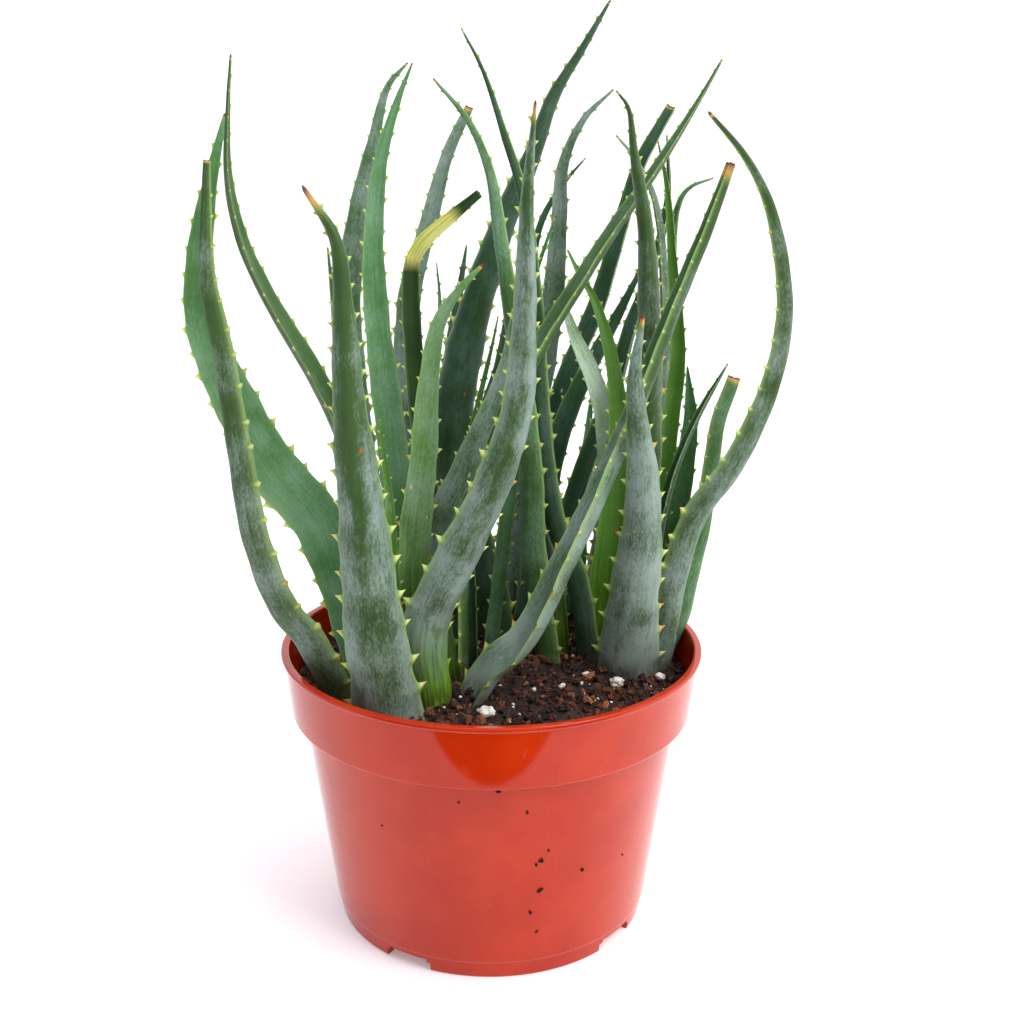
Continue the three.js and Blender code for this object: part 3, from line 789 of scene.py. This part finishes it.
def leaf_mesh(name, points, width, depth, face_foot, face_tip, belly, end, tip, seed, **look):
    """The fine mesh of one leaf, with what its skin needs to know stored on it.

    The look may hold sheath, the height in millimetres of the fresh green at the foot; worn, how much
    bloom is rubbed off the back along the line worn_at; bare, the bloom missing at foot and
    tip, which on one leaf is painted shade that darkens its green; dry, the millimetres of dried tip;
    and withered, the shares of the length between which it is straw.
    """
    draw = random.Random(seed)
    line, length = grown_curve([[q * MM for q in (*p, LEAF_FOOT)[:3]] for p in points])
    edges = [tooth_places(length, width * MM, draw), tooth_places(length, width * MM, draw)]

    rings = set(np.arange(0, length, RING_STEP).tolist()) | {length}
    for at, size in edges[0] + edges[1]:
        around = [at + k * size * TOOTH_BASE for k in TOOTH_RINGS]
        rings |= {spot for spot in around if 0 < spot < length}
    arc = np.array(sorted(rings))
    arc = arc[np.concatenate([[True], np.diff(arc) > 0.08 * MM])]
    t = arc / length

    even = np.linspace(0, length, len(line))
    centre = np.stack([np.interp(arc, even, line[:, k]) for k in range(3)], 1)
    slope = np.gradient(line, axis=0)
    along = unit(np.stack([np.interp(arc, even, slope[:, k]) for k in range(3)], 1))
    bearing = np.radians(face_foot + (face_tip - face_foot) * t)
    inner = np.stack([np.cos(bearing), np.sin(bearing), np.zeros_like(t)], 1)
    inner = unit(inner - along * np.sum(inner * along, 1, keepdims=True))
    across = np.cross(along, inner)

    size = 1 - (1 - end) * t**belly
    waver = 1 + 0.03 * np.sin(arc * 190 + seed) + 0.02 * np.sin(arc * 420 + seed * 2.3)
    half_width = width * MM / 2 * size * waver
    half_depth = depth * MM / 2 * (0.3 + 0.7 * size) * np.minimum(1, 0.25 + 2.2 * size)

    a = np.array(INNER_ACROSS + OUTER_ACROSS)
    is_inner = np.arange(len(a)) < len(INNER_ACROSS)
    keel = CHANNEL + EDGE_RISE - KEEL * np.maximum(0, 1 - a**2) ** 0.62
    n = np.where(is_inner, CHANNEL + EDGE_RISE * a**2, keel)
    pull = np.where(abs(a) == 1, 1.0, np.where(abs(a) == 0.985, 0.45, np.where(abs(a) > 0.9, 0.07, 0.0)))

    flesh = 1 + 0.05 * np.sin(arc[:, None] * 260 + a[None, :] * 3 + seed) * np.cos(arc[:, None] * 97 + seed)
    x = a[None, :] * half_width[:, None]
    z = n[None, :] * half_depth[:, None] * flesh
    reach = np.zeros((len(arc), len(a)))
    tooth = np.zeros_like(reach)
    for side, teeth in zip((1, -1), edges):
        mine = np.where(np.sign(a) == side, pull, 0)
        for at, tall in teeth:
            s = np.abs(arc - at) / (TOOTH_BASE * tall)
            rise = 0.86 * np.clip(1 - s, 0, 1) ** 1.7 + 0.14 * np.clip(1 - s / 1.5, 0, 1) ** 1.5
            reach += rise[:, None] * mine[None, :] * tall
            tooth = np.maximum(tooth, rise[:, None] * mine[None, :])
    x = x + np.sign(a)[None, :] * reach
    z = z + 0.25 * reach
    verts = centre[:, None] + across[:, None] * x[..., None] + inner[:, None] * z[..., None]
    verts = verts + along[:, None] * (TOOTH_HOOK * reach)[..., None]
    verts = verts.reshape(-1, 3)

    rows, sides = len(arc), len(a)
    is_cut = tip == "cut"
    cap = ((0.9, 0.12), (0.45, -0.1)) if is_cut else ((0.75, 0.8), (0.45, 1.6))
    jag_size = 0.12 if is_cut else 0
    caps = []
    last_mid = centre[-1] + inner[-1] * half_depth[-1] * 0.3
    ring = verts[-sides:]
    for scale, ahead in cap:
        push = along[-1] * ahead * half_width[-1]
        jag = np.array([[draw.gauss(0, jag_size)] for k in range(sides)]) * half_depth[-1]
        caps.append(last_mid + (ring - last_mid) * scale + push + along[-1] * jag)
    point = last_mid + along[-1] * half_width[-1] * (-0.25 if is_cut else 2.4)
    foot = centre[0]
    verts = np.vstack([verts, *caps, point[None], foot[None]])
    rows += len(caps)
    faces = []
    for i in range(rows - 1):
        for k in range(sides):
            m = (k + 1) % sides
            faces.append((i * sides + k, i * sides + m, (i + 1) * sides + m, (i + 1) * sides + k))
    top, bottom = rows * sides, rows * sides + 1
    for k in range(sides):
        m = (k + 1) % sides
        faces.append(((rows - 1) * sides + k, (rows - 1) * sides + m, top))
        faces.append((m, k, bottom))

    mesh = bpy.data.meshes.new(name)
    mesh.from_pydata(verts.tolist(), [], faces)
    shade(mesh, 75)

    def spread(value):
        """A value per ring vertex, carried on over the caps."""
        value = np.broadcast_to(value, (len(arc), sides))
        return np.concatenate([value.ravel()] + [value[-1]] * len(caps) + [[value[-1, 0], value[0, 0]]])

    def store(label, value):
        data = mesh.attributes.new(label, "FLOAT", "POINT").data
        data.foreach_set("value", spread(value).astype(np.float32))

    back = (length - arc)[:, None]
    store("inner_face", np.where(abs(a) == 1, 0.5, is_inner.astype(float))[None, :])
    store("edge", np.where(abs(a) > 0.98, 1.0, np.where(abs(a) > 0.9, 0.25, 0.0))[None, :])
    store("tooth", tooth)
    dry_length = look.get("dry", {"sharp": 1.0, "dry": 18, "cut": 0.8}[tip]) * MM
    store("dried", np.clip(1 - back / dry_length, 0, 1) if dry_length else 0.0)
    low, high = look.get("withered", (2, 2))
    store("withered", np.clip((t[:, None] - low) * 40, 0, 1) * np.clip((high - t[:, None]) * 40, 0, 1))
    sheath_top = look.get("sheath", 0) * MM
    store("sheath", np.clip(1.3 * (1 - arc[:, None] / max(sheath_top, 1e-6)), 0, 1) if sheath_top else 0.0)
    worn = look.get("worn", 0.0) * np.exp(-((a[None, :] - look.get("worn_at", 0)) / 0.45) ** 2)
    worn = worn * np.clip(0.15 + 2.2 * t[:, None], 0, 1) * (1 - is_inner)[None, :]
    # Bloom missing at foot and tip joins the wear. On one leaf it is painted shade, a darker green for the
    # shade that leaf stands in.
    bare_and_shade_foot, bare_and_shade_tip = look.get("bare", (0.0, 0.15))
    store("worn", worn + bare_and_shade_foot + (bare_and_shade_tip - bare_and_shade_foot) * t[:, None])
    grown = np.stack(np.broadcast_arrays(x + seed * 0.04, z, arc[:, None] + x * 0), -1).reshape(-1, 3)
    grown = np.vstack([grown] + [grown[-sides:]] * len(caps) + [grown[-1:], grown[:1]])
    data = mesh.attributes.new("grown", "FLOAT_VECTOR", "POINT").data
    data.foreach_set("vector", grown.astype(np.float32).ravel())
    return mesh


def grow_rosette(crown, first_seed, leaves):
    """Adds a rosette's leaves, in the order in which their solids are numbered."""
    for k, (finish, points, *form, look) in enumerate(leaves):
        name = f"aloe_{crown}_{k + 1}"
        mesh = leaf_mesh(name, points, *form, first_seed + k, **look)
        leaf = place(name, mesh, finish)
        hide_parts(f"leaf_{crown}_{k + 1}")
        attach(leaf, "root")


# ---------------------------------------------------------------------------------------------
# Rosettes
# Five plants share the pot. A row is one leaf: its skin, its midrib from the soil up in whole
# millimetres, width and depth at the foot, the bearing its channel faces at foot and tip, how long it
# stays full, how wide it ends, its tip (sharp, dry or cut), and what became of its skin.
# ---------------------------------------------------------------------------------------------

# The west front plant has the broad upright leaf, the one that hangs out over the rim, and the
# long pale one that crosses to the right.
grow_rosette("west_front", 1, [
    (GREY, [(-36, -48), (-40, -52, 128), (-43, -57, 176), (-46, -57, 212), (-47, -57, 244),
     (-49, -56, 263), (-58, -56, 278)],
     25, 9, 90, 105, 1.1, 0.06, "dry", dict(worn=0.5, worn_at=0.1, bare=(-0.1, 0.6), dry=12)),
    (GREY, [(-21, -33), (-22, -37, 126), (-11, -41, 153), (2, -45, 183), (9, -46, 207), (11, -47, 240),
     (11, -48, 275), (13, -47, 304)],
     19, 9, 120, 100, 1.4, 0.05, "dry",
     dict(dry=8, sheath=42, worn=0.35, worn_at=0.3, bare=(-0.2, 0.2))),
    (GREY, [(-56, -23), (-66, -28, 118), (-75, -31, 133), (-82, -36, 157), (-85, -41, 186),
     (-88, -45, 223), (-92, -44, 249), (-92, -42, 268), (-91, -40, 286)],
     17, 11, 25, 25, 1, 0.12, "cut", dict(worn=0.6, worn_at=0.6, bare=(0.2, 0.6), dry=0.8)),
    (GREEN, [(-45, -5), (-65, 0, 153), (-82, 4, 174), (-97, 7, 202), (-105, 9, 222), (-107, 10, 243),
     (-104, 14, 267), (-96, 18, 300)], 22, 6, -50, -75, 2, 0.05, "sharp", {}),
    (GREEN, [(-26, -6), (-33, -6, 150), (-38, -1, 194), (-42, 3, 230), (-43, 7, 258), (-40, 12, 286),
     (-34, 16, 306), (-29, 18, 318)], 12, 5, -75, -80, 2.7, 0.06, "sharp", dict(sheath=45)),
    (YOUNG, [(-35, -27), (-36, -29, 170), (-38, -28, 189), (-39, -27, 200)],
     5, 3, -80, -80, 2.5, 0.1, "sharp", dict(bare=(0.3, 0.3))),
    (YOUNG, [(-27, -20), (-28, -23, 151), (-24, -22, 186), (-22, -20, 212), (-18, -18, 233),
     (-9, -17, 246), (-4, -16, 251)],
     12, 5.5, -80, -100, 2.6, 0.1, "sharp", dict(sheath=80, bare=(-0.35, -0.1))),
    (GREY, [(-16, -16), (-22, -15, 143), (-19, -16, 160), (-10, -18, 180), (-1, -18, 201),
     (5, -18, 219), (7, -18, 237)], 11, 4.5, -95, -110, 3, 0.06, "sharp", dict(sheath=40)),
    # This leaf's bloom is stripped further than wear alone would: its darker green is painted shade.
    (GREY, [(-12, -9), (-10, -10, 151), (4, -9, 196), (17, 1, 220), (32, 10, 243), (45, 18, 262),
     (61, 26, 284), (77, 34, 309), (84, 38, 321)],
     12, 6, 200, 215, 1.8, 0.06, "sharp", dict(bare=(0.55, 0.7))),
    (GREY, [(-8, -31), (0, -30, 107), (12, -30, 119), (25, -26, 144), (40, -16, 174), (52, -4, 199),
     (64, 5, 229), (77, 9, 262), (85, 11, 285)],
     13, 8, 205, 190, 1.3, 0.25, "cut", dict(dry=9, bare=(-0.3, 0.9))),
])

# The west back plant has the tall left leaf and the one whose bent end has withered to straw.
grow_rosette("west_back", 21, [
    (GREY, [(-44, 10), (-50, 8, 149), (-54, 6, 181), (-65, 6, 207), (-81, 4, 237), (-89, 1, 258),
     (-92, -2, 279), (-90, -5, 305), (-88, -7, 319)],
     17, 6, -30, 0, 1.4, 0.05, "sharp", dict(bare=(0.5, 0.8))),
    (GREY, [(-31, 12), (-49, 18, 158), (-54, 21, 201), (-55, 23, 235), (-51, 27, 265), (-45, 31, 290),
     (-39, 34, 311), (-32, 36, 319)], 14, 5, -60, -60, 2.7, 0.06, "sharp", {}),
    (GREEN, [(-40, 23), (-58, 28, 156), (-61, 34, 225), (-63, 37, 252)],
     7, 4, -50, -50, 2, 0.1, "sharp", dict(sheath=50)),
    (GREY, [(-21, 21), (-31, 24, 169), (-33, 30, 207), (-31, 35, 237), (-24, 41, 262), (-17, 47, 287),
     (-9, 51, 304)], 13, 5, -90, -110, 2, 0.25, "cut", dict(dry=2.5)),
    (DEEP_SHADED, [(-19, 5), (-26, 10, 180), (-29, 13, 217), (-30, 15, 239), (-29, 15, 250), (-24, 13, 258),
     (-16, 12, 265), (-5, 11, 274)],
     8, 4.5, -80, -100, 4, 0.4, "cut", dict(withered=(0.8, 0.955), dry=0, bare=(0.3, 0.5))),
    (GREEN, [(-24, 14), (-25, 19, 190), (-21, 21, 218), (-20, 22, 235), (-21, 23, 248)],
     5, 3, -80, -80, 2, 0.1, "sharp", {}),
    (DARK_SHADED, [(-8, 1), (-8, 9, 177), (-1, 13, 199), (3, 16, 213), (6, 18, 234), (7, 20, 246)],
     7, 4, -110, -120, 2.5, 0.08, "sharp", {}),
    (YOUNG, [(-14, 10), (-14, 14, 167), (-8, 18, 184), (-4, 21, 201), (0, 24, 218), (2, 26, 228)],
     5, 3, -100, -110, 2, 0.1, "sharp", {}),
    (GREY, [(-38, 34), (-46, 45, 129), (-54, 58, 163), (-57, 67, 196)],
     14, 6, -50, -50, 1.5, 0.06, "sharp", {}),
    (GREEN, [(-22, 42), (-28, 58, 124), (-33, 65, 160), (-35, 70, 200)],
     15, 6, -70, -75, 1.5, 0.06, "sharp", {}),
])

# The centre back plant is the tallest, with broad dark leaves whose darkness is partly painted shade.
grow_rosette("centre_back", 41, [
    (DARK_SHADED, [(-1, 30), (-7, 35, 124), (-14, 39, 152), (-16, 45, 180), (-11, 50, 210), (-3, 55, 239),
     (6, 59, 264), (16, 63, 287), (24, 68, 309), (35, 71, 327), (45, 74, 344)],
     24, 8, 90, 110, 1.15, 0.05, "sharp", {}),
    (GREY, [(3, 43), (11, 41, 161), (19, 38, 204), (23, 35, 233), (25, 33, 264), (26, 30, 284),
     (33, 28, 300), (43, 27, 310)], 12, 5.5, -90, -100, 2.4, 0.06, "sharp", {}),
    (DARK_SHADED, [(6, 56), (11, 67, 188), (17, 73, 249), (21, 74, 263), (30, 76, 277), (37, 77, 285)],
     6, 4, -90, -110, 3, 0.1, "sharp", {}),
    (GREEN, [(-1, 18), (11, 25, 196), (15, 26, 240), (19, 26, 253), (23, 26, 265)],
     5.5, 3.5, -90, -110, 2.5, 0.1, "sharp", {}),
    (DARK_SHADED, [(15, 50), (20, 55, 157), (30, 59, 196), (43, 63, 228), (51, 66, 256), (59, 70, 283),
     (64, 71, 293), (71, 73, 305)], 9, 5, -120, -130, 3, 0.45, "cut", dict(dry=1.5)),
    (DARK_SHADED, [(13, 38), (21, 43, 147), (30, 48, 184), (42, 54, 209), (52, 59, 227), (61, 64, 245)],
     10, 4.5, -110, -120, 3, 0.1, "sharp", {}),
    (DARK_SHADED, [(24, 33), (30, 35, 135), (37, 39, 163), (48, 44, 193), (55, 49, 220), (64, 53, 245),
     (69, 58, 272), (68, 62, 294)], 11, 5, -130, -150, 1.8, 0.06, "sharp", {}),
    (GREY, [(27, 16), (24, 18, 130), (20, 19, 148), (16, 20, 166)],
     8, 4, 70, 70, 1.5, 0.1, "sharp", dict(sheath=50)),
    (GREY, [(-12, 58), (-17, 66, 130), (-19, 72, 170), (-17, 75, 210), (-11, 74, 250)],
     16, 7, -75, -85, 1.4, 0.05, "sharp", {}),
    (GREEN, [(14, 63), (20, 70, 130), (26, 75, 168), (30, 77, 205)],
     14, 6, -110, -110, 1.4, 0.06, "sharp", {}),
])

# The east front plant has the upright leaf with the blunt orange tip and the arching one on the right.
grow_rosette("east_front", 61, [
    (GREY, [(52, -7), (53, -12, 125), (55, -16, 157), (54, -18, 180), (51, -20, 201), (50, -19, 216),
     (52, -18, 234)], 24, 9, 90, 100, 1.15, 0.06, "dry", dict(dry=5, bare=(-0.15, 0.15))),
    (GREY, [(65, 4), (76, 1, 154), (90, -2, 178), (101, 0, 203), (106, 2, 230), (103, 2, 254),
     (97, 4, 274), (88, 6, 289), (76, 7, 302)],
     15, 8, 135, 150, 1.2, 0.08, "sharp", dict(bare=(0.1, 0.6))),
    (GREEN, [(67, 14), (75, 13, 115), (78, 15, 130), (82, 17, 149), (85, 21, 170), (87, 23, 187),
     (93, 26, 205)], 11, 7, 160, 160, 1.6, 0.5, "cut", dict(dry=3, bare=(0.1, 0.1))),
    (DARK_SHADED, [(60, 12), (66, 16, 151), (70, 14, 172), (77, 12, 192), (87, 10, 213)],
     5, 3.5, 200, 200, 3, 0.1, "sharp", {}),
    (YOUNG, [(43, 20), (44, 20, 125), (47, 21, 158), (48, 23, 191), (44, 28, 217), (38, 35, 235),
     (33, 38, 243), (29, 42, 251)],
     13, 4.5, -85, -70, 1.5, 0.07, "sharp", dict(sheath=45, bare=(0.3, 0.3))),
    (PALE, [(46, 28), (45, 28, 139), (44, 27, 186), (38, 28, 206), (31, 30, 221), (28, 31, 229)],
     10, 4, -90, -80, 4, 0.3, "sharp", dict(dry=0)),
    (GREY, [(50, 10), (57, 14, 135), (59, 17, 190), (58, 15, 229), (55, 11, 263), (50, 9, 288),
     (47, 7, 304), (43, 6, 309)], 13, 7, 80, 90, 2.2, 0.05, "sharp", dict(bare=(0.3, 0.6))),
    (YOUNG, [(56, 22), (66, 26, 148), (69, 29, 180), (72, 32, 215), (69, 34, 245), (66, 38, 275),
     (62, 40, 292)], 9, 5, -100, -120, 2, 0.06, "sharp", dict(bare=(0.3, 0.3))),
    (GREEN, [(21, 6), (15, 7, 138), (13, 5, 178), (7, 3, 226), (2, 2, 259), (-2, -1, 283),
     (-9, -4, 299), (-20, -6, 312)], 13, 5.5, 40, 60, 1.6, 0.06, "sharp", dict(bare=(0.15, 0.15))),
    (DARK_SHADED, [(38, 8), (32, 10, 128), (23, 12, 152), (18, 15, 187), (15, 16, 236), (10, 14, 274),
     (4, 13, 293), (-4, 8, 316), (-11, 6, 329)], 11, 5.5, 40, 60, 1.4, 0.05, "sharp", {}),
])

# The east back plant is the smallest, mostly behind the others.
grow_rosette("east_back", 81, [
    (GREY, [(55, 36), (67, 39, 153), (68, 41, 193), (67, 43, 237), (62, 44, 271), (54, 45, 286),
     (47, 46, 294)], 8, 4.5, 170, 190, 2, 0.08, "sharp", {}),
    (GREEN, [(56, 43), (72, 53, 170), (72, 60, 235), (74, 65, 267), (78, 66, 274), (87, 66, 278)],
     7, 4, -150, 160, 3, 0.1, "sharp", {}),
    (GREEN, [(63, 28), (72, 32, 138), (76, 34, 162), (79, 38, 186), (77, 41, 206)],
     12, 4.5, -120, -120, 3, 0.08, "sharp", {}),
    (GREY, [(42, 47), (49, 64, 129), (56, 69, 165), (60, 75, 196)],
     14, 6, -100, -105, 1.4, 0.06, "sharp", {}),
    (GREEN, [(32, 54), (36, 66, 130), (40, 74, 165), (42, 78, 190)],
     12, 6, -85, -90, 1.4, 0.06, "sharp", {}),
])

# ---------------------------------------------------------------------------------------------
# Stems
# Under each rosette is a short pale stem, ringed by the scars of leaves that were shed, with its
# growing point rounded over between the youngest leaves.
# ---------------------------------------------------------------------------------------------

stem_skin, tree, skin = new_material("stem_skin")
where = put(tree, "TexCoord").outputs["Object"]
rings_tone = grain(tree, stretched(tree, where, (0.2, 0.2, 1.0)), 900, 2, 0.5)
pale = mix(tree, step(tree, rings_tone, 0.4, 0.62), rgb(150, 150, 84), rgb(196, 190, 130))
pale = mix(tree, step(tree, grain(tree, where, 500, 3, 0.6), 0.58, 0.68, 0.0, 0.7), pale, rgb(104, 76, 46))
feed(tree, skin, {
    "Base Color": pale, "Roughness": step(tree, rings_tone, 0.3, 0.7, 0.5, 0.75),
    "Normal": bumped(tree, rings_tone, 0.6, 0.4 * MM),
})

STEM_SCARS = 6
for crown in ("west_front", "west_back", "centre_back", "east_front", "east_back"):
    low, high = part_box("stem_" + crown)
    radius = (high.x - low.x) / 2
    height = high.z - low.z
    outline = [Vector((0, 0)), Vector((radius * 0.9, 0))]
    for k in range(STEM_SCARS):
        share = k / STEM_SCARS * 0.84
        outline.append(Vector((radius * 0.98, height * (share + 0.02))))
        outline.append(Vector((radius * 0.9, height * (share + 0.1))))
    for out, up in ((0.6, 0.96), (0.25, 1), (0, 1)):
        outline.append(Vector((radius * out, height * up)))
    mesh = turned("aloe_stem_" + crown, outline, 28)
    mesh.transform(Matrix.Translation(((low.x + high.x) / 2, (low.y + high.y) / 2, low.z)))
    shade(mesh, 60)
    stem = place("aloe_stem_" + crown, mesh, stem_skin)
    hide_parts("stem_" + crown)
    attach(stem, "root")

# ---------------------------------------------------------------------------------------------
# Studio
# A white floor that glows a little, under a white sky that is cooler on the left, with one broad soft
# light high on the right. A dark board lies in front, where only gloss sees it. The camera stands well
# above the rim and looks down at 16 degrees.
# ---------------------------------------------------------------------------------------------

floor_paint, tree, skin = new_material("floor_paint")
feed(tree, skin, {
    "Base Color": (0.93, 0.93, 0.93, 1), "Roughness": 0.9,
    "Emission Color": (1, 1, 1, 1), "Emission Strength": 0.2,
})
floor_mesh = bpy.data.meshes.new("studio_floor")
FLOOR_HALF = 4.0
corners = [(x * FLOOR_HALF, y * FLOOR_HALF, 0) for x, y in ((-1, -1), (1, -1), (1, 1), (-1, 1))]
floor_mesh.from_pydata(corners, [], [(0, 1, 2, 3)])
floor = place("studio_floor", floor_mesh, floor_paint)
floor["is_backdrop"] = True

sky = bpy.data.worlds.new("studio_sky")
sky.use_nodes = True
tree = sky.node_tree
towards = put(tree, "SeparateXYZ", {0: put(tree, "TexCoord").outputs["Generated"]}).outputs
back_wall = step(tree, towards[1], -0.75, 0.35, 0.5, 1.3)
ceiling = step(tree, towards[2], 0.3, 0.9, 0.0, 0.35)
cool_side = mix(tree, step(tree, towards[0], -0.35, -0.8), (1, 1, 1, 1), (0.4, 0.42, 0.66, 1))
glow = calc(tree, "ADD", back_wall, ceiling)
feed(tree, tree.nodes["Background"], {"Color": cool_side, "Strength": glow})
bpy.context.scene.world = sky
bpy.context.scene.view_settings.view_transform = "Standard"

KEY_AT = Vector((0.9, -0.7, 1.3))
KEY_TARGET = Vector((0, 0, 0.15))
lamp = bpy.data.lights.new("key_light", "AREA")
lamp.size = 0.8
lamp.energy = 16
key_light = bpy.data.objects.new("key_light", lamp)
key_light.location = KEY_AT
key_light.rotation_euler = (KEY_TARGET - KEY_AT).to_track_quat("-Z", "Y").to_euler()
bpy.context.scene.collection.objects.link(key_light)

# The board lies just above the floor and stops short of the pot: the collar reflects it.
DARK_FROM_Y = -0.1635
BOARD_Z = 3 * MM
board_paint, tree, skin = new_material("board_paint")
feed(tree, skin, {"Base Color": (0.008, 0.004, 0.004, 1), "Roughness": 1.0})
board_mesh = bpy.data.meshes.new("dark_board")
corners = [(x, y, BOARD_Z) for x, y in ((-1, -1), (1, -1), (1, DARK_FROM_Y), (-1, DARK_FROM_Y))]
board_mesh.from_pydata(corners, [], [(0, 1, 2, 3)])
board = place("dark_board", board_mesh, board_paint)
board.visible_camera = False
board.visible_diffuse = False
board.visible_shadow = False
board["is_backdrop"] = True

lens = bpy.data.cameras.new("camera")
lens.lens = 46.6
lens.sensor_width = 36
lens.clip_start = 0.02
camera = bpy.data.objects.new("camera", lens)
CAMERA_AT = Vector((0, -0.4763, 0.2961))
LOOK_DOWN = 0.2807
TURN = -0.0155
ROLL = 0.0074
tilt = Matrix.Rotation(math.pi / 2 - LOOK_DOWN, 4, "X")
view = Matrix.Rotation(TURN, 4, "Z") @ tilt @ Matrix.Rotation(ROLL, 4, "Z")
camera.matrix_world = Matrix.Translation(CAMERA_AT) @ view
bpy.context.scene.collection.objects.link(camera)
bpy.context.scene.camera = camera

low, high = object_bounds()
